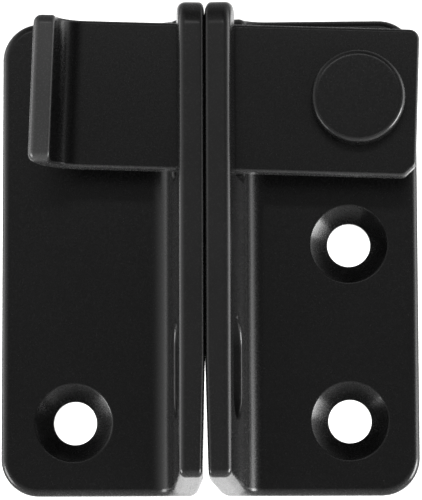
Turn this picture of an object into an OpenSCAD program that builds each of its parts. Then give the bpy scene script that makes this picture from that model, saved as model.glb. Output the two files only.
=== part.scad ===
// Toggle bar latch for a pair of doors. Two angle brackets stand with their
// uprights side by side across a narrow gap. A flat bar, riveted to the base
// bracket, drops into an open-top notch in each upright and holds them together.
// X runs across the pair, +Y points into the mounting surface at y = 0, and Z is up.
// The origin is midway between the two screw holes of the base bracket.

/* [Brackets] */
// Thickness of the bracket sheet
sheet_t = 3; // [2.6:0.1:3.2]
// Height of each bracket
plate_h = 55.4; // [55:0.2:60]
// Middle of the gap to the outer edge of a bracket
plate_reach = 24.2; // [24:0.2:28]
// How far the uprights stand out from the mounting surface
stand_out = 16; // [15.8:0.1:17]
// Inside radius of the bend
bend_r = 2.6; // [2:0.1:2.8]
// Lean of each upright towards the other, in degrees
lean = 6.7; // [4:0.1:7]
// Gap between the uprights where they meet at the front
gap = 0.03; // [0.02:0.01:0.6]
// Depth of the flat land on each upright where they meet
land = 0.9; // [0.3:0.1:1.5]
// Radius of the outer corners of the flanges
corner_r = 4.4; // [2:0.2:5]
// Slope of the bottom edge of the uprights, in degrees
foot_slope = 9; // [4:1:12]
// Radius of the front bottom corner of the uprights
foot_r = 1; // [0.6:0.2:5]
// How far the front edge of each upright draws back from the gap at the bottom
foot_spread = 0.4; // [0:0.05:0.6]
// Height above which the uprights meet
spread_z = 15; // [5:1:30]

/* [Notches] */
// Depth of the prong in front of the notch
prong_w = 4.5; // [3.5:0.1:4.5]
// Rise of the prong's tip above the top of the flange
prong_rise = 0.3; // [0:0.1:1]
// Share of the prong's depth that the round of its front corner takes, the back corner's takes the rest
tip_share = 0.68; // [0.5:0.02:0.76]
// Mounting surface to the back wall of the notch
notch_back = 4.4; // [3.8:0.1:4.6]
// Height of the notch floor above the bottom edge
notch_floor = 36.55; // [36:0.05:36.55]
// Radius of the inside corners of the notch
notch_r = 0.8; // [0.4:0.1:1.2]

/* [Padlock slot] */
// Overall height of the slot
slot_h = 11.4; // [9:0.2:13]
// Width of the slot
slot_w = 6.4; // [5:0.2:7]
// Mounting surface to the middle of the slot
slot_out = 10.4; // [10:0.1:10.8]
// Height of the middle of the slot above the bottom edge
slot_z = 14.3; // [12:0.1:18]

/* [Fixing holes] */
// Diameter of the screw holes
hole_d = 5; // [4:0.1:5.2]
// Diameter of the countersinks
sink_d = 9; // [8.4:0.1:9.4]
// Included angle of the countersinks, in degrees
sink_angle = 90; // [82, 90]
// Middle of the gap to the base bracket's line of screw holes
base_hole_x = 16.2; // [15:0.1:17]
// Height of the base bracket's lower screw hole
base_hole_low = 8.6; // [7:0.1:10]
// Height of the base bracket's upper screw hole
base_hole_high = 29.1; // [26:0.1:31]
// Middle of the gap to the keeper bracket's line of screw holes
keeper_hole_x = 15.7; // [15:0.1:17]
// Height of the keeper bracket's lower screw hole
keeper_hole_low = 8.5; // [7:0.1:10]
// Height of the keeper bracket's upper screw hole
keeper_hole_high = 46.5; // [40:0.1:48]

/* [Toggle bar] */
// Thickness of the bar
bar_t = 2.5; // [2:0.1:2.6]
// Width of the bar
bar_w = 16.9; // [15:0.1:16.9]
// Middle of the bar's width below the pivot
bar_drop = 0.23; // [0:0.01:0.23]
// Mounting surface to the back face of the bar
bar_back = 8.5; // [8.1:0.1:8.8]
// Middle of the gap to the pivot
pivot_x = 17.25; // [16:0.05:17.5]
// Height of the pivot above the bottom edge
pivot_z = 44.8; // [44.8:0.1:47]
// Pivot to the plain end of the bar
bar_end = 6.8; // [6:0.1:7.2]
// Tilt of the bar in the notches, lip end up, in degrees
bar_tilt = 2.1; // [2.1:0.1:3]
// Pivot to the start of the bend of the lip
lip_start = 31.25; // [30:0.05:34]
// Inside radius of the bend of the lip
lip_r = 3.2; // [2.6:0.1:3.4]
// Mounting surface to the tip of the lip
lip_tip = 15; // [15:0.1:19]
// Radius of the corners of the lip and of the plain end
lip_corner_r = 1.2; // [0.6:0.1:2]
// Size of the chamfer on the lower corner of the plain end
end_chamfer = 1.3; // [0.5:0.1:2]

/* [Pivot] */
// Diameter of the rivet head
head_d = 10.6; // [9:0.1:12]
// Thickness of the rivet head
head_t = 2.7; // [1.5:0.1:3]
// Radius of the head's front edge
head_edge = 0.5; // [0.2:0.1:0.8]
// Diameter of the rivet shank
shank_d = 5; // [4:0.1:5.4]
// Outside diameter of the spacer
spacer_d = 8; // [7:0.1:9]
// Diameter of the peened tail at the back face
tail_d = 7; // [6.4:0.1:7.4]
// Running clearance of the bar on its pivot
run_fit = 0.05; // [0.03:0.01:0.08]

/* [Hidden] */
$fn = 96;
eps = 1;
bend_out = bend_r + sheet_t;
half_gap = gap / 2;
// Centre of the bend, measured from the middle of the gap.
bend_y = bend_out;
lean_x = half_gap - land * tan(lean);
bend_x = lean_x + (bend_out + (stand_out - bend_y) * sin(lean)) / cos(lean);
// Length of the straight part of the upright, front edge to bend.
straight = (stand_out - bend_y + bend_out * sin(lean)) / cos(lean);
origin_z = (base_hole_low + base_hole_high) / 2;
sink_depth = (sink_d - hole_d) / 2 / tan(sink_angle / 2);
bar_front = bar_back + bar_t;
finish = "#1c1c1e";

function arc(cx, cy, r, a0, a1, n) =
    [for (i = [0:n]) [cx + r * cos(a0 + (a1 - a0) * i / n), cy + r * sin(a0 + (a1 - a0) * i / n)]];

// Distance back from the front edge, along the lean, of a point at distance out.
function back(out) = (stand_out - out) / cos(lean);

// Puts geometry drawn from the middle of the gap and the bottom edge in the part's frame.
module set_frame() {
    translate([-base_hole_x, 0, -origin_z])
        children();
}

// Flange outline with the two outer corners rounded.
module flange_outline() {
    polygon(concat(
        [[bend_x, 0]],
        arc(plate_reach - corner_r, corner_r, corner_r, -90, 0, 12),
        arc(plate_reach - corner_r, plate_h - corner_r, corner_r, 0, 90, 12),
        [[bend_x, plate_h]]
    ));
}

// Side outline of the bend and upright. The first coordinate runs back from the front edge.
module upright_outline() {
    v_prong = back(stand_out - prong_w);
    tip_front_r = tip_share * v_prong;
    tip_back_r = v_prong - tip_front_r;
    tip_z = plate_h + prong_rise;
    v_notch = back(notch_back);
    v_foot = back(sheet_t);
    v_end = back(-2);
    z_front = v_foot * tan(foot_slope);
    reach = foot_r * tan((90 - foot_slope) / 2);
    polygon(concat(
        [[v_end, 0], [v_end, plate_h], [v_notch, plate_h]],
        arc(v_notch - notch_r, notch_floor + notch_r, notch_r, 0, -90, 6),
        arc(v_prong + notch_r, notch_floor + notch_r, notch_r, 270, 180, 6),
        arc(tip_front_r, tip_z - tip_back_r, tip_back_r, 0, 90, 12),
        arc(tip_front_r, tip_z - tip_front_r, tip_front_r, 90, 180, 12),
        arc(foot_r, z_front + reach, foot_r, 180, 270 - foot_slope, 12),
        [[v_foot, 0]]
    ));
}

// Obround outline of the padlock slot, upright.
module slot_outline() {
    v = back(slot_out);
    r = slot_w / 2;
    rise = slot_h / 2 - r;
    polygon(concat(
        arc(v, slot_z + rise, r, 0, 180, 24),
        arc(v, slot_z - rise, r, 180, 360, 24)
    ));
}

// Stands a side outline on the leaning upright and extrudes it across the sheet.
module across_upright(x0, x1) {
    translate([lean_x, -stand_out, 0])
        rotate([0, 0, -lean])
            translate([x0, 0, 0])
                rotate([90, 0, 90])
                    linear_extrude(height = x1 - x0)
                        children();
}

// Front view of the space between the uprights: a narrow gap that spreads towards the bottom.
module gap_outline() {
    polygon([
        [-2 * eps, -eps],
        [half_gap + foot_spread, -eps],
        [half_gap + foot_spread, 0],
        [half_gap, spread_z],
        [half_gap, plate_h + 3 * eps],
        [-2 * eps, plate_h + 3 * eps]
    ]);
}

// Straight part of the upright and the bend, at full height.
module upright_sheet() {
    union() {
        difference() {
            translate([lean_x, -stand_out, 0])
                rotate([0, 0, -lean])
                    cube([sheet_t, straight, plate_h + prong_rise]);
            translate([0, straight - stand_out - eps, 0])
                rotate([90, 0, 0])
                    linear_extrude(height = straight)
                        gap_outline();
        }
        translate([bend_x, -bend_y, 0])
            rotate([0, 0, 90])
                rotate_extrude(angle = 90 - lean)
                    translate([bend_r, 0])
                        square([sheet_t, plate_h]);
    }
}

// Bracket blank on the +X side of the gap, without its fixing holes.
module bracket_blank() {
    union() {
        rotate([90, 0, 0])
            linear_extrude(height = sheet_t)
                flange_outline();
        difference() {
            intersection() {
                upright_sheet();
                across_upright(-eps, bend_x + eps)
                    upright_outline();
            }
            across_upright(-eps, sheet_t + eps)
                slot_outline();
        }
    }
}

// Countersunk screw hole through the flange, drawn to be cut.
module screw_hole(x, z) {
    translate([x, 0, z])
        rotate([90, 0, 0]) {
            translate([0, 0, -eps])
                cylinder(d = hole_d, h = sheet_t + 2 * eps);
            translate([0, 0, sheet_t - sink_depth])
                cylinder(d1 = hole_d, d2 = sink_d, h = sink_depth);
            translate([0, 0, sheet_t])
                cylinder(d = sink_d, h = eps);
        }
}

module keeper_bracket() {
    color(finish)
        set_frame()
            difference() {
                mirror([1, 0, 0])
                    bracket_blank();
                screw_hole(-keeper_hole_x, keeper_hole_low);
                screw_hole(-keeper_hole_x, keeper_hole_high);
            }
}

module base_bracket() {
    color(finish)
        set_frame()
            difference() {
                bracket_blank();
                screw_hole(base_hole_x, base_hole_low);
                screw_hole(base_hole_x, base_hole_high);
                translate([pivot_x, 0, pivot_z])
                    rotate([90, 0, 0]) {
                        translate([0, 0, -eps])
                            cylinder(d = shank_d, h = sheet_t + 2 * eps);
                        tail_cone();
                    }
            }
}

// Cone of the peened tail, from the back face of the flange.
module tail_cone() {
    cylinder(d1 = tail_d, d2 = shank_d, h = (tail_d - shank_d) / 2);
}

// Outline of the flat of the bar, middle of the width at the origin.
module bar_outline() {
    polygon(concat(
        [[-lip_start, -bar_w / 2], [bar_end - end_chamfer, -bar_w / 2], [bar_end, end_chamfer - bar_w / 2]],
        arc(bar_end - lip_corner_r, bar_w / 2 - lip_corner_r, lip_corner_r, 0, 90, 6),
        [[-lip_start, bar_w / 2]]
    ));
}

// Side outline of the lip. The first coordinate is the distance from the mounting surface.
module lip_outline() {
    polygon(concat(
        [[bar_back - eps, bar_w / 2], [bar_back - eps, -bar_w / 2]],
        arc(lip_tip - lip_corner_r, lip_corner_r - bar_w / 2, lip_corner_r, -90, 0, 6),
        arc(lip_tip - lip_corner_r, bar_w / 2 - lip_corner_r, lip_corner_r, 0, 90, 6)
    ));
}

// Bend and short straight end of the lip, before its corners are rounded.
module lip_sheet() {
    union() {
        translate([-lip_start, -bar_front - lip_r, -bar_w / 2])
            rotate([0, 0, 90])
                rotate_extrude(angle = 90)
                    translate([lip_r, 0])
                        square([bar_t, bar_w]);
        translate([-lip_start - lip_r - bar_t, -lip_tip, -bar_w / 2])
            cube([bar_t, lip_tip - bar_front - lip_r, bar_w]);
    }
}

// Bar and lip without the pivot hole, middle of the width at the origin.
module bar_blank() {
    union() {
        translate([0, -bar_back, 0])
            rotate([90, 0, 0])
                linear_extrude(height = bar_t)
                    bar_outline();
        intersection() {
            lip_sheet();
            rotate([90, 0, -90])
                linear_extrude(height = lip_start + 2 * lip_r + 2 * bar_t)
                    lip_outline();
        }
    }
}

module toggle_bar() {
    color(finish)
        set_frame()
            translate([pivot_x, 0, pivot_z])
                rotate([0, bar_tilt, 0])
                    difference() {
                        translate([0, 0, -bar_drop])
                            bar_blank();
                        rotate([90, 0, 0])
                            cylinder(d = shank_d + 2 * run_fit, h = bar_front + eps);
                    }
}

module pivot_rivet() {
    head_back = bar_front + run_fit;
    color(finish)
        set_frame()
            translate([pivot_x, 0, pivot_z])
                rotate([90, 0, 0])
                    union() {
                        cylinder(d = shank_d, h = head_back);
                        tail_cone();
                        translate([0, 0, head_back])
                            rotate_extrude()
                                polygon(concat(
                                    [[0, head_t], [0, 0], [head_d / 2, 0]],
                                    arc(head_d / 2 - head_edge, head_t - head_edge, head_edge, 0, 90, 6)
                                ));
                    }
}

module spacer() {
    color(finish)
        set_frame()
            translate([pivot_x, -sheet_t, pivot_z])
                rotate([90, 0, 0])
                    difference() {
                        cylinder(d = spacer_d, h = bar_back - sheet_t - run_fit);
                        translate([0, 0, -eps])
                            cylinder(d = shank_d + 2 * run_fit, h = bar_back + 2 * eps);
                    }
}

keeper_bracket();
base_bracket();
toggle_bar();
pivot_rivet();
spacer();
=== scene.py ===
import math

import bmesh
import bpy
from mathutils import Matrix, Vector
from mathutils.geometry import delaunay_2d_cdt


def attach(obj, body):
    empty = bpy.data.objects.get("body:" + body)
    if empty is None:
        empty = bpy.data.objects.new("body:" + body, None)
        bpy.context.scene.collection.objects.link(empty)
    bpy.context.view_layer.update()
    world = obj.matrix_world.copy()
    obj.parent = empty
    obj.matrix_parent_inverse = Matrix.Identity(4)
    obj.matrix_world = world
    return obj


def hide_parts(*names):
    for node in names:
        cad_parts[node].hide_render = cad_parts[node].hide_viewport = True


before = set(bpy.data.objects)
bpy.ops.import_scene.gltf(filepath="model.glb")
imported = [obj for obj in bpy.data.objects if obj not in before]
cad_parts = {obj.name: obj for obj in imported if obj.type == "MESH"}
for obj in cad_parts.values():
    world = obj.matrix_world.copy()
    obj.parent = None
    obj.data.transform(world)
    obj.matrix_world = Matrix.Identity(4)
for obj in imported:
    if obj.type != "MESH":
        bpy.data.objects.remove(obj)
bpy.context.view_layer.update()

MM = 0.001

# Dimensions in millimetres, from the middle of the gap and the bottom edge, as in the CAD

ORIGIN = Vector((16.2, 0, 18.85))

# Brackets
SHEET = 3.0
HEIGHT = 55.4
REACH = 24.2
OUT = 16.0
BEND_OUT = 2.6 + SHEET
LEAN = math.radians(6.7)
LAND = 0.9
FOOT_SPREAD = 0.4
SPREAD_Z = 15.0
CORNER_R = 4.4
FOOT_SLOPE = math.radians(9)
FOOT_R = 1.0
HEEL_R = 6.0
PRONG_W = 4.5
PRONG_RISE = 0.3
TIP_SHARE = 0.68
TIP_FLAT = 0.002
NOTCH_BACK = 4.4
NOTCH_FLOOR = 36.55
NOTCH_R = 0.8
NOTCH_TOP_R = 1.1
SLOT_OUT = 10.4
SLOT_Z = 14.3
SLOT_W = 6.4
SLOT_H = 11.4
HOLE_R = 2.5
SINK_R = 4.5
SINK_DEPTH = 2.0
LEAN_X = -LAND * math.tan(LEAN)
BEND_X = LEAN_X + (BEND_OUT + (OUT - BEND_OUT) * math.sin(LEAN)) / math.cos(LEAN)
STRAIGHT = (OUT - BEND_OUT + BEND_OUT * math.sin(LEAN)) / math.cos(LEAN)

# Bar
BAR_T = 2.5
BAR_W = 16.9
BAR_BACK = 8.5
BAR_DROP = 0.23
BAR_END = 6.8
BAR_CORNER_R = 1.2
CHAMFER = 1.3
CHAMFER_R = 0.95
TILT = math.radians(2.1)
LIP_START = 31.25
LIP_R = 3.2
LIP_TIP = 15.0

# Pivot
PIVOT = Vector((17.25, 44.8))
SHANK_R = 2.5
RUN_FIT = 0.05
BORE_R = SHANK_R + RUN_FIT
TAIL_R = 3.5
TAIL_DEPTH = 1.0
HEAD_R = 5.3
HEAD_T = 2.7
HEAD_BACK = BAR_BACK + BAR_T + RUN_FIT
SLEEVE_R = 4.0

# Rounded edges
BRACKET_EDGE = 0.55
BRACKET_INNER_EDGE = 0.95
SLOT_EDGE = 0.24
SLOT_INNER_EDGE = 0.35
BAR_EDGE = 0.3
LIP_EXTRA_EDGE = 0.6
BAR_INNER_EDGE = 0.4

# Fineness of the meshes
OUTLINE_STEP = 0.5
ARC_STEP = 0.22
MIN_ARC_STEPS = 6
SLOT_END_STEPS = 24
HOLE_STEPS = 72
TURNED_STEPS = 96
EDGE_STEPS = 6
GRID_CLEARANCE = 0.33
SAME_POINT = 1e-4
CDT_TOLERANCE = 1e-7


# Materials

def color_mix(nodes, links, factor, first, second, blend="MIX"):
    """Result socket of a colour mix. Each input is a socket to link or a value to set."""
    node = nodes.new("ShaderNodeMix")
    node.data_type = "RGBA"
    node.blend_type = blend
    for index, value in ((0, factor), (6, first), (7, second)):
        if isinstance(value, bpy.types.NodeSocket):
            links.new(value, node.inputs[index])
        else:
            node.inputs[index].default_value = value
    return node.outputs[2]


def satin_paint(name, tone, edge_tone, rough, grain):
    """Satin black powder coat: fine orange peel, faint tone drift, and lighter edges that are partly
    thinner paint and partly a painted highlight.
    """
    mat = bpy.data.materials.new(name)
    mat.use_nodes = True
    nodes = mat.node_tree.nodes
    links = mat.node_tree.links
    bsdf = nodes["Principled BSDF"]
    coord = nodes.new("ShaderNodeTexCoord")

    def noise(scale, detail, roughness=0.5):
        node = nodes.new("ShaderNodeTexNoise")
        node.inputs["Scale"].default_value = scale
        node.inputs["Detail"].default_value = detail
        node.inputs["Roughness"].default_value = roughness
        links.new(coord.outputs["Object"], node.inputs["Vector"])
        return node.outputs["Fac"]

    drift = noise(70.0, 3.0)
    peel = noise(2300.0, 2.0, 0.45)
    speck = noise(5200.0, 1.0)

    tone_ramp = nodes.new("ShaderNodeValToRGB")
    tone_ramp.color_ramp.elements[0].position = 0.3
    tone_ramp.color_ramp.elements[0].color = [tone * 0.86] * 3 + [1]
    tone_ramp.color_ramp.elements[1].position = 0.7
    tone_ramp.color_ramp.elements[1].color = [tone * 1.14, tone * 1.14, tone * 1.18, 1]
    links.new(drift, tone_ramp.inputs["Fac"])

    # Lighter paint on the cut edges and rounded rims, patchy with the drift: partly thinner paint, partly a
    # painted highlight.
    edge = nodes.new("ShaderNodeAttribute")
    edge.attribute_name = "edge"
    patchy = nodes.new("ShaderNodeMath")
    patchy.operation = "MULTIPLY_ADD"
    patchy.inputs[1].default_value = 0.6
    patchy.inputs[2].default_value = 0.4
    links.new(drift, patchy.inputs[0])
    wear_and_highlight = nodes.new("ShaderNodeMath")
    wear_and_highlight.operation = "MULTIPLY"
    links.new(edge.outputs["Fac"], wear_and_highlight.inputs[0])
    links.new(patchy.outputs[0], wear_and_highlight.inputs[1])
    edge_color = (edge_tone, edge_tone, edge_tone, 1)
    color = color_mix(nodes, links, wear_and_highlight.outputs[0], tone_ramp.outputs["Color"], edge_color)
    links.new(color, bsdf.inputs["Base Color"])

    rough_map = nodes.new("ShaderNodeMapRange")
    rough_map.inputs["From Min"].default_value = 0.3
    rough_map.inputs["From Max"].default_value = 0.7
    rough_map.inputs["To Min"].default_value = rough - 0.04
    rough_map.inputs["To Max"].default_value = rough + 0.05
    links.new(speck, rough_map.inputs["Value"])
    links.new(rough_map.outputs["Result"], bsdf.inputs["Roughness"])

    bump = nodes.new("ShaderNodeBump")
    bump.inputs["Strength"].default_value = grain
    bump.inputs["Distance"].default_value = 0.00002
    links.new(peel, bump.inputs["Height"])
    links.new(bump.outputs["Normal"], bsdf.inputs["Normal"])

    bsdf.inputs["Metallic"].default_value = 0.0
    bsdf.inputs["IOR"].default_value = 1.5
    return mat


# edge_tone is the lighter colour of the cut edges and rims: partly thinner paint, partly a painted
# highlight, strongest on the bar.
bracket_mat = satin_paint("bracket_satin_black", tone=0.006, edge_tone=0.022, rough=0.25, grain=0.12)
bar_mat = satin_paint("bar_satin_black", tone=0.006, edge_tone=0.085, rough=0.25, grain=0.10)
rivet_mat = satin_paint("rivet_satin_black", tone=0.007, edge_tone=0.030, rough=0.24, grain=0.09)
spacer_mat = satin_paint("spacer_satin_black", tone=0.006, edge_tone=0.012, rough=0.33, grain=0.14)


# Outlines and profiles. A pressed sheet is drawn flat in (s, z), with s along its outer face.

def unit(angle):
    return Vector((math.cos(angle), math.sin(angle)))


def rounded_outline(corners, step):
    """Points with outward normals round a closed outline of (s, z, radius) corners, anticlockwise."""
    out = []
    n = len(corners)
    for i in range(n):
        p = Vector(corners[i][:2])
        a = (Vector(corners[i - 1][:2]) - p).normalized()
        b = (Vector(corners[(i + 1) % n][:2]) - p).normalized()
        r = corners[i][2]
        half = a.angle(b) / 2
        side = 1 if a.y * b.x > a.x * b.y else -1
        centre = p + (a + b).normalized() * (r / math.sin(half))
        first = Vector((-a.y, a.x)) * side
        start = math.atan2(first.y, first.x)
        arc = math.pi - 2 * half
        steps = max(MIN_ARC_STEPS, int(arc * (r + 1.0) / ARC_STEP))
        for k in range(steps + 1):
            d = unit(start + side * arc * k / steps)
            out.append((centre + d * r, d * side))
    out = [o for i, o in enumerate(out) if (o[0] - out[i - 1][0]).length > SAME_POINT]
    full = []
    for i in range(len(out)):
        p, m = out[i]
        q, m2 = out[(i + 1) % len(out)]
        full.append((p, m))
        pieces = int((q - p).length / step)
        for k in range(1, pieces):
            f = k / pieces
            full.append((p.lerp(q, f), m.lerp(m2, f).normalized()))
    return full


def slot_outline(cs, cz, w, h):
    """Points round a slot with round ends, clockwise, with normals towards its middle."""
    r = w / 2
    rise = h / 2 - r
    out = []
    for end, first in ((rise, math.pi), (-rise, 0.0)):
        for k in range(SLOT_END_STEPS + 1):
            d = unit(first - math.pi * k / SLOT_END_STEPS)
            out.append((Vector((cs, cz + end)) + d * r, -d))
    return out


def hole_normals():
    """Normals round a round hole, clockwise, towards its middle."""
    turns = [2 * math.pi * k / HOLE_STEPS for k in range(HOLE_STEPS)]
    return [Vector((-math.cos(a), math.sin(a))) for a in turns]


def edge_rings():
    """(inner face or not, weight along the outline's normal, weight along the face's) across an edge."""
    turns = [math.pi / 2 * k / EDGE_STEPS for k in range(EDGE_STEPS + 1)]
    outer = [(0, math.cos(a), math.sin(a)) for a in reversed(turns)]
    inner = [(1, math.cos(a), math.sin(a)) for a in turns]
    return outer + inner


def profile_rings(profile):
    """(depth, radius, normal across the sheet's outline, normal through it) for a turned hole."""
    rings = []
    n = len(profile)
    for i in range(n):
        a = Vector(profile[max(0, i - 1)])
        b = Vector(profile[min(n - 1, i + 1)])
        t = (b - a).normalized()
        rings.append((profile[i][0], profile[i][1], t.x, t.y))
    return rings


def soft_profile(points, radii, steps=5):
    """Rounds the inner corners of a (depth, radius) polyline."""
    out = [points[0]]
    for i in range(1, len(points) - 1):
        p = Vector(points[i])
        a = Vector(points[i - 1]) - p
        b = Vector(points[i + 1]) - p
        reach = radii[i - 1] / math.tan(a.angle(b) / 2)
        reach = min(reach, a.length * 0.9, b.length * 0.9)
        p0 = p + a.normalized() * reach
        p1 = p + b.normalized() * reach
        for k in range(steps + 1):
            f = k / steps
            q = p0.lerp(p, f).lerp(p.lerp(p1, f), f)
            out.append((q.x, q.y))
    out.append(points[-1])
    return out


# Meshes

def inside(p, loop):
    hit = False
    n = len(loop)
    for i in range(n):
        a, b = loop[i], loop[(i + 1) % n]
        if (a.y > p.y) != (b.y > p.y):
            if p.x < a.x + (p.y - a.y) * (b.x - a.x) / (b.y - a.y):
                hit = not hit
    return hit


def on_sheet(p, rims):
    return inside(p, rims[0]) and not any(inside(p, r) for r in rims[1:])


def flood(points, tris, walls, rims):
    """The triangles on the sheet: those reached from its largest one without crossing an outline."""
    beside = {}
    for k, tri in enumerate(tris):
        for i in range(3):
            beside.setdefault(frozenset((tri[i], tri[i - 1])), []).append(k)

    def size(k):
        a, b, c = (points[i] for i in tris[k])
        return abs((b.x - a.x) * (c.y - a.y) - (b.y - a.y) * (c.x - a.x))

    def middle(tri):
        return (points[tri[0]] + points[tri[1]] + points[tri[2]]) / 3

    todo = [max((k for k, tri in enumerate(tris) if on_sheet(middle(tri), rims)), key=size)]
    seen = set(todo)
    while todo:
        tri = tris[todo.pop()]
        for i in range(3):
            side = frozenset((tri[i], tri[i - 1]))
            if side in walls:
                continue
            for k in beside[side]:
                if k not in seen:
                    seen.add(k)
                    todo.append(k)
    return [tris[k] for k in sorted(seen)]


class Fold:
    """Path of a sheet's outer face in plan: a straight run, one bend, and a second straight run.
    Where meets is set, the first run is ground flat where it would cross the middle of the gap."""

    def __init__(self, start, heading, straight, radius, angle, thick, meets=False):
        self.start = Vector(start)
        self.heading = heading
        self.straight = straight
        self.radius = radius
        self.angle = angle
        self.thick = thick
        self.meets = meets
        self.bend = radius * angle

    def at(self, s, z, t):
        """Place at s, height z and depth t, direction along s, and direction into the sheet."""
        h = self.heading
        e = unit(h)
        if s > self.straight:
            corner = self.start + e * self.straight
            centre = corner + Vector((-e.y, e.x)) * self.radius
            h = h + min((s - self.straight) / self.radius, self.angle)
            e = unit(h)
            face = centre - Vector((-e.y, e.x)) * self.radius
            if s > self.straight + self.bend:
                face = face + e * (s - self.straight - self.bend)
        else:
            face = self.start + e * s
        n = Vector((-e.y, e.x))
        depth = t
        limit = FOOT_SPREAD * max(0, 1 - z / SPREAD_Z)
        if self.meets and face.x < limit:
            lift = (limit - face.x) / n.x
            depth = t + lift * (1 - t / self.thick)
        p = face + n * depth
        return Vector((p.x, -p.y, z)), Vector((e.x, -e.y, 0)), Vector((n.x, -n.y, 0))


def join_rings(rows, faces):
    """Adds a band of quads between each ring of vertices and the next."""
    for a, b in zip(rows, rows[1:]):
        count = len(a)
        for i in range(count):
            j = (i + 1) % count
            faces.append((a[i], b[i], b[j], a[j]))


def pressed_sheet(name, fold, outlines, holes, place, flip, grid):
    """Mesh of a folded sheet. outlines are (outline, outer edge radius as a function of s, inner edge
    radius), the sheet's own first. holes are (s, z, profile). grid points are added to the faces."""
    thick = fold.thick
    verts = []
    normals = []
    faces = []
    edge = []

    # The last weight lightens the paint on the cut edge faces: partly thinner paint, partly a painted
    # highlight.
    def put(s, z, t, m, along, face, edge_wear_and_highlight=0.0):
        p, e, n = fold.at(s, z, t)
        verts.append(p)
        edge.append(edge_wear_and_highlight)
        normals.append((e * (m.x * along) + Vector((0, 0, m.y * along)) + n * face).normalized())
        return len(verts) - 1

    outer_loops = []
    inner_loops = []
    for loop, r_outer, r_inner in outlines:
        rows = []
        for is_inner, along, face in edge_rings():
            row = []
            for p, m in loop:
                r = r_inner if is_inner else r_outer(p.x)
                depth = thick - r * (1 - face) if is_inner else r * (1 - face)
                q = p - m * r * (1 - along)
                row.append(put(q.x, q.y, depth, m, along, face if is_inner else -face, along))
            rows.append(row)
        join_rings(rows, faces)
        outer_loops.append(([p - m * r_outer(p.x) for p, m in loop], rows[0]))
        inner_loops.append(([p - m * r_inner for p, m in loop], rows[-1]))
    for cs, cz, profile in holes:
        ring = hole_normals()
        rows = []
        for depth, radius, along, face in profile_rings(profile):
            row = [put(cs - m.x * radius, cz - m.y * radius, depth, m, along, face) for m in ring]
            rows.append(row)
        join_rings(rows, faces)
        outer_loops.append(([Vector((cs, cz)) - m * profile[0][1] for m in ring], rows[0]))
        inner_loops.append(([Vector((cs, cz)) - m * profile[-1][1] for m in ring], rows[-1]))

    for loops, depth, face in ((outer_loops, 0.0, -1), (inner_loops, thick, 1)):
        pts = []
        ids = []
        edges = []
        for pos, index in loops:
            start = len(pts)
            pts += pos
            ids += index
            edges += [(start + i, start + (i + 1) % len(pos)) for i in range(len(pos))]
        rims = [pos for pos, _ in loops]
        for s, z in grid:
            p = Vector((s, z))
            if on_sheet(p, rims) and min((p - q).length for q in pts[:len(ids)]) >= GRID_CLEARANCE:
                pts.append(p)
        for p in pts[len(ids):]:
            q, _, n = fold.at(p.x, p.y, depth)
            verts.append(q)
            normals.append(n * face)
            edge.append(0.0)
            ids.append(len(verts) - 1)
        got, lines, tris, orig, origin_lines, _ = delaunay_2d_cdt(pts, edges, [], 0, CDT_TOLERANCE, True)
        walls = {frozenset(line) for line, source in zip(lines, origin_lines) if source}
        for tri in flood(got, tris, walls, rims):
            faces.append([ids[orig[i][0]] for i in tri])

    turn = -1 if flip else 1
    placed = []
    for v, m in zip(verts, normals):
        placed.append(place(Vector((v.x * turn, v.y, v.z)), Vector((m.x * turn, m.y, m.z))))
    return finish_mesh(name, placed, faces, edge)


def turned(name, profile, place, closed):
    """Mesh turned about the pivot's axis from (distance out, radius) points, back to front."""
    n = len(profile)
    verts = []
    normals = []
    edge = []
    rings = []
    for i, (out, radius) in enumerate(profile):
        a = Vector(profile[i - 1] if closed or i else profile[0])
        b = Vector(profile[(i + 1) % n] if closed or i < n - 1 else profile[-1])
        t = (b - a).normalized()
        count = TURNED_STEPS if radius > 0 else 1
        rings.append(list(range(len(verts), len(verts) + count)))
        # Edge value, highest on 45-degree slopes of the profile: lightens the paint on the rounded rims,
        # partly as a painted highlight.
        edge += [abs(2 * t.x * t.y)] * count
        for k in range(count):
            angle = 2 * math.pi * k / TURNED_STEPS
            c, d = math.cos(angle), math.sin(angle)
            verts.append(Vector((radius * c, -out, radius * d)))
            normals.append(Vector((t.x * c, t.y, t.x * d)) if count > 1 else Vector((0, t.y, 0)))
    pairs = list(zip(rings, rings[1:])) + ([(rings[-1], rings[0])] if closed else [])
    faces = []
    for a, b in pairs:
        for i in range(TURNED_STEPS):
            j = (i + 1) % TURNED_STEPS
            corners = [a[i % len(a)], a[j % len(a)], b[j % len(b)], b[i % len(b)]]
            faces.append(list(dict.fromkeys(corners)))
    return finish_mesh(name, [place(v, m) for v, m in zip(verts, normals)], faces, edge)


def finish_mesh(name, placed, faces, edge):
    """Mesh from (place in millimetres, normal) vertices, with an edge value for the paint."""
    bm = bmesh.new()
    made = [bm.verts.new(v * MM) for v, _ in placed]
    for f in faces:
        bm.faces.new([made[i] for i in f])
    bmesh.ops.recalc_face_normals(bm, faces=bm.faces)
    for f in bm.faces:
        f.smooth = True
    mesh = bpy.data.meshes.new(name)
    bm.to_mesh(mesh)
    bm.free()
    mesh.attributes.new("edge", "FLOAT", "POINT").data.foreach_set("value", edge)
    mesh.normals_split_custom_set_from_vertices([tuple(m) for _, m in placed])
    return mesh


def add_piece(mesh, node, body, mat):
    ob = bpy.data.objects.new(mesh.name, mesh)
    bpy.context.scene.collection.objects.link(ob)
    mesh.materials.append(mat)
    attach(ob, body)
    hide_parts(node)


# Brackets

def back(out):
    """Distance along the leaning upright from its front edge to a distance out from the wall."""
    return (OUT - out) / math.cos(LEAN)


def along(v):
    """Distance along the outer face of a cut that lies v behind the front edge."""
    if v <= STRAIGHT:
        return v
    return STRAIGHT + BEND_OUT * math.asin((v - STRAIGHT) / BEND_OUT)


def in_frame(v, m):
    return v - ORIGIN, m


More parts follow.
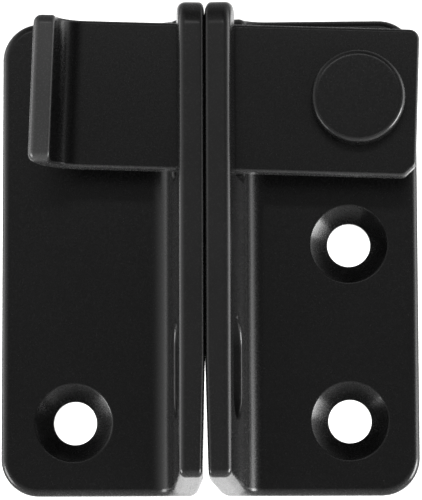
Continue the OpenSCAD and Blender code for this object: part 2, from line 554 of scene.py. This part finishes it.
def bracket(name, node, body, flip, screws, rivet_hole):
    """One angle bracket, with screw holes at (x, z) and mirrored to the left side where flip is set."""
    heading = LEAN - math.pi / 2
    fold = Fold((LEAN_X, OUT), heading, STRAIGHT, BEND_OUT, -heading, SHEET, meets=True)
    flat = STRAIGHT + fold.bend - BEND_X
    side = REACH + flat
    prong = back(OUT - PRONG_W)
    notch = along(back(NOTCH_BACK))
    foot = along(back(SHEET))
    rise = back(SHEET) * math.tan(FOOT_SLOPE)
    tip_front = TIP_SHARE * prong
    tip_back = prong - tip_front - TIP_FLAT
    tip = HEIGHT + PRONG_RISE
    outline = rounded_outline([
        (0, rise, FOOT_R), (foot, 0, HEEL_R), (side, 0, CORNER_R), (side, HEIGHT, CORNER_R),
        (notch, HEIGHT, NOTCH_TOP_R), (notch, NOTCH_FLOOR, NOTCH_R), (prong, NOTCH_FLOOR, NOTCH_R),
        (prong, tip, tip_back), (0, tip, tip_front)], OUTLINE_STEP)
    slot = slot_outline(back(SLOT_OUT), SLOT_Z, SLOT_W, SLOT_H)

    sink = soft_profile([
        (0, HOLE_R + 0.4), (0, HOLE_R), (SHEET - SINK_DEPTH, HOLE_R),
        (SHEET, SINK_R), (SHEET, SINK_R + 0.9)], (0.15, 0.2, 0.4))
    holes = [(x + flat, z, sink) for x, z in screws]
    if rivet_hole:
        tail = soft_profile([
            (0, TAIL_R + 0.3), (0, TAIL_R), (TAIL_DEPTH, SHANK_R),
            (SHEET, SHANK_R), (SHEET, SHANK_R + 0.3)], (0.05, 0.1, 0.1))
        holes.append((PIVOT.x + flat, PIVOT.y, tail))

    # Points inside the faces: close together across the bend, wider on the flange and upright
    grid = [(STRAIGHT + 0.45 * i, 1.5 + 3 * j) for i in range(20) for j in range(19)]
    grid += [(x + flat, 2 + 3.5 * j) for x in range(10, 24, 3) for j in range(16)]
    grid += [(2.5 * i, 2 + 3.5 * j) for i in range(1, 4) for j in range(16)]
    outlines = [
        (outline, lambda s: BRACKET_EDGE, BRACKET_INNER_EDGE),
        (slot, lambda s: SLOT_EDGE, SLOT_INNER_EDGE)]
    mesh = pressed_sheet(name, fold, outlines, holes, in_frame, flip, grid)
    add_piece(mesh, node, body, bracket_mat)


bracket("keeper_plate", "keeper_bracket", "keeper", True, [(15.7, 8.5), (15.7, 46.5)], False)
bracket("base_plate", "base_bracket", "base", False, [(16.2, 8.6), (16.2, 29.1)], True)


# Bar

def on_pivot(v, m):
    return v + Vector((PIVOT.x, 0, PIVOT.y)) - ORIGIN, m


def on_bar(v, m):
    """Lowers the bar on its pivot and tilts it as it lies in the notches."""
    c, d = math.cos(TILT), math.sin(TILT)
    z = v.z - BAR_DROP
    tilted_v = Vector((v.x * c + z * d, v.y, z * c - v.x * d))
    tilted_m = Vector((m.x * c + m.z * d, m.y, m.z * c - m.x * d))
    return on_pivot(tilted_v, tilted_m)


def bar_edge(s):
    """Outer edge radius: large on the lip, falling to the bar's own between 2 and 7 mm from the tip."""
    return BAR_EDGE + LIP_EXTRA_EDGE * max(0, min(1, (7 - s) / 5))


def toggle():
    radius = LIP_R + BAR_T
    straight = LIP_TIP - BAR_BACK - radius
    fold = Fold((-LIP_START - radius, LIP_TIP), -math.pi / 2, straight, radius, math.pi / 2, BAR_T)
    flat = straight + fold.bend + LIP_START
    end = flat + BAR_END
    half = BAR_W / 2
    outline = rounded_outline([
        (0, -half, BAR_CORNER_R), (end - CHAMFER, -half, CHAMFER_R), (end, CHAMFER - half, CHAMFER_R),
        (end, half, BAR_CORNER_R), (0, half, BAR_CORNER_R)], OUTLINE_STEP)
    hole = soft_profile([
        (0, BORE_R + 0.25), (0, BORE_R), (BAR_T, BORE_R), (BAR_T, BORE_R + 0.25)], (0.1, 0.1))
    grid = [(straight + 0.45 * i, -6 + 3 * j) for i in range(21) for j in range(5)]
    grid += [(straight + fold.bend + 2 + 3.2 * i, -6 + 3 * j) for i in range(12) for j in range(5)]
    outlines = [(outline, bar_edge, BAR_INNER_EDGE)]
    holes = [(flat, BAR_DROP, hole)]
    mesh = pressed_sheet("toggle_plate", fold, outlines, holes, on_bar, False, grid)
    add_piece(mesh, "toggle_bar", "toggle", bar_mat)


toggle()


# Rivet and spacer

rivet_profile = soft_profile([
    (0, TAIL_R - RUN_FIT), (TAIL_DEPTH, SHANK_R), (HEAD_BACK, SHANK_R), (HEAD_BACK, HEAD_R),
    (HEAD_BACK + HEAD_T, HEAD_R), (HEAD_BACK + HEAD_T, 0)], (0.05, 0.02, 0.12, 0.75), 10)
rivet_mesh = turned("rivet", [(0, 0)] + rivet_profile, on_pivot, False)
add_piece(rivet_mesh, "pivot_rivet", "base", rivet_mat)

sleeve_front = BAR_BACK - RUN_FIT
sleeve_profile = soft_profile([
    (SHEET, 3.2), (SHEET, SLEEVE_R), (sleeve_front, SLEEVE_R), (sleeve_front, BORE_R),
    (SHEET, BORE_R), (SHEET, 3.0)], (0.2, 0.2, 0.15, 0.15))
sleeve_mesh = turned("sleeve", sleeve_profile, on_pivot, True)
add_piece(sleeve_mesh, "spacer", "base", spacer_mat)


# Studio: one pale sweep of floor and backdrop, soft lights, and a camera

def sweep():
    half_width = 1.6
    front = -1.8
    floor = -0.45
    wall = 0.60
    radius = 0.25
    top = 1.3
    steps = 16
    profile = [(front, floor), (wall - radius, floor)]
    for i in range(1, steps + 1):
        a = math.radians(-90 + 90 * i / steps)
        profile.append((wall - radius + radius * math.cos(a), floor + radius + radius * math.sin(a)))
    profile.append((wall, top))
    verts = []
    for x in (-half_width, half_width):
        verts += [(x, y, z) for y, z in profile]
    n = len(profile)
    faces = [(i, i + 1, n + i + 1, n + i) for i in range(n - 1)]
    mesh = bpy.data.meshes.new("studio_sweep")
    mesh.from_pydata(verts, [], faces)
    for p in mesh.polygons:
        p.use_smooth = True
    ob = bpy.data.objects.new("studio_sweep", mesh)
    bpy.context.scene.collection.objects.link(ob)
    mat = bpy.data.materials.new("studio_white")
    mat.use_nodes = True
    bsdf = mat.node_tree.nodes["Principled BSDF"]
    bsdf.inputs["Base Color"].default_value = (0.75, 0.75, 0.75, 1)
    bsdf.inputs["Roughness"].default_value = 0.9
    mesh.materials.append(mat)


sweep()


def area(name, at, target, size, power):
    light = bpy.data.lights.new(name, "AREA")
    light.shape = "RECTANGLE"
    light.size = size[0]
    light.size_y = size[1]
    light.energy = power
    ob = bpy.data.objects.new(name, light)
    bpy.context.scene.collection.objects.link(ob)
    ob.location = at
    direction = Vector(target) - Vector(at)
    ob.rotation_euler = direction.to_track_quat("-Z", "Y").to_euler()
    ob.visible_camera = False


area("upper_front_strip", at=(-0.016, -0.92, 0.37), target=(-0.016, 0, 0.02), size=(0.50, 0.08), power=0.45)
area("lower_right_light", at=(0.54, -0.10, -0.20), target=(0, 0, 0), size=(0.24, 0.30), power=4.2)
area("lower_left_light", at=(-0.55, -0.10, -0.26), target=(-0.03, 0, 0), size=(0.24, 0.30), power=2.4)
area("background_light", at=(-0.016, 0.34, 0.02), target=(-0.016, 1.0, 0.02), size=(0.80, 0.80), power=4.2)


def studio_world():
    """Soft light from all round: dim in front, brighter at the sides, dark overhead, white where seen."""
    world = bpy.data.worlds.new("studio_world")
    world.use_nodes = True
    nodes = world.node_tree.nodes
    links = world.node_tree.links
    coord = nodes.new("ShaderNodeTexCoord")
    split = nodes.new("ShaderNodeSeparateXYZ")
    links.new(coord.outputs["Generated"], split.inputs["Vector"])

    def ramp(axis, stops):
        """Brightness along one axis of the direction, from (direction's part, level) stops."""
        spread = nodes.new("ShaderNodeMapRange")
        spread.inputs["From Min"].default_value = -1
        spread.inputs["From Max"].default_value = 1
        links.new(split.outputs[axis], spread.inputs["Value"])
        curve = nodes.new("ShaderNodeValToRGB")
        elements = curve.color_ramp.elements
        while len(elements) < len(stops):
            elements.new(0.5)
        for element, (part, level) in zip(elements, stops):
            element.position = (part + 1) / 2
            element.color = (level, level, level, 1)
        links.new(spread.outputs["Result"], curve.inputs["Fac"])
        return curve.outputs["Color"]

    left = ramp("Y", [
        (-1, 0.17), (-0.94, 0.24), (-0.74, 0.60), (-0.3, 1.1),
        (-0.02, 2.0), (0.2, 3.6), (0.45, 3.0), (0.6, 0.4)])
    right = ramp("Y", [
        (-1, 0.17), (-0.94, 0.15), (-0.82, 0.04), (-0.45, 0.15),
        (-0.12, 2.8), (0.2, 3.6), (0.45, 3.0), (0.6, 0.4)])
    is_right = ramp("X", [(-0.06, 0.0), (0.06, 1.0)])
    height = ramp("Z", [
        (-1, 0.3), (-0.4, 0.6), (0, 1.0), (0.3, 1.0), (0.55, 0.5), (0.8, 0.15), (1, 0.1)])
    round_light = color_mix(nodes, links, is_right, left, right)
    light = color_mix(nodes, links, 1.0, round_light, height, "MULTIPLY")
    path = nodes.new("ShaderNodeLightPath")
    seen = color_mix(nodes, links, path.outputs["Is Camera Ray"], light, (1, 1, 1, 1))
    links.new(seen, nodes["Background"].inputs["Color"])
    bpy.context.scene.world = world


studio_world()
bpy.context.scene.view_settings.view_transform = "Standard"
bpy.context.scene.view_settings.look = "None"
bpy.context.scene.view_settings.exposure = 0.0


def place_camera():
    """Camera just left of the middle and a little below it, looking slightly up."""
    data = bpy.data.cameras.new("camera")
    data.sensor_fit = "AUTO"
    data.sensor_width = 36.0
    data.lens = 193.712
    data.clip_start = 0.01
    data.clip_end = 10.0
    ob = bpy.data.objects.new("camera", data)
    bpy.context.scene.collection.objects.link(ob)
    place = Vector((-4.089, -313.544, -21.546)) * MM
    yaw = math.radians(2.1936)
    pitch = math.radians(5.7291)
    roll = math.radians(-0.1647)
    forward = Vector((-math.sin(yaw) * math.cos(pitch), math.cos(yaw) * math.cos(pitch), math.sin(pitch)))
    level_right = Vector((math.cos(yaw), math.sin(yaw), 0))
    level_up = level_right.cross(forward)
    right = level_right * math.cos(roll) + level_up * math.sin(roll)
    up = level_up * math.cos(roll) - level_right * math.sin(roll)
    turn = Matrix((right, up, -forward)).transposed().to_4x4()
    ob.matrix_world = Matrix.Translation(place) @ turn
    bpy.context.scene.camera = ob


place_camera()
